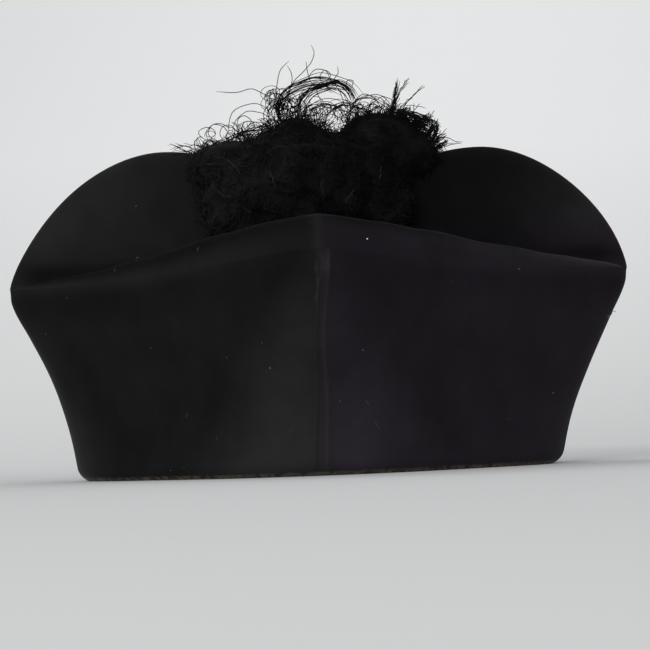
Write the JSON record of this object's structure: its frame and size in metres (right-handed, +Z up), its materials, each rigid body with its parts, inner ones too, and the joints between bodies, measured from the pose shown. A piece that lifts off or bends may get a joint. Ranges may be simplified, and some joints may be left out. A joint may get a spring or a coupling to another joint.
{
  "type": "clerical biretta",
  "caption": "Black cloth biretta: a square cap of flared stiff walls with upright horns on the corners of its top, a brown sweatband and a worn wool pompom.",
  "frame": {"origin": "centre of the square plan at its widest, on the plane of the rim that the cap rests on", "axes": "+Z up through the pompom, -Y towards the corner without a horn, +X towards the right horn as seen from that corner"},
  "size_m": [0.2578, 0.2589, 0.1646],
  "materials": {
    "cloth": "matte black felted wool cloth, a little faded along its folds",
    "sweatband": "dark brown, dull and worn",
    "wool": "black curly wool yarn, worn and fraying"
  },
  "bodies": {
    "root": {"wall_front_right": "cloth", "wall_back_right": "cloth", "wall_back_left": "cloth", "wall_front_left": "cloth", "top_front": "cloth", "top_back_right": "cloth", "top_back_left": "cloth", "horn_right": "cloth", "horn_back": "cloth", "horn_left": "cloth", "sweatband": "sweatband", "pompom": "wool"}
  },
  "joints": []
}
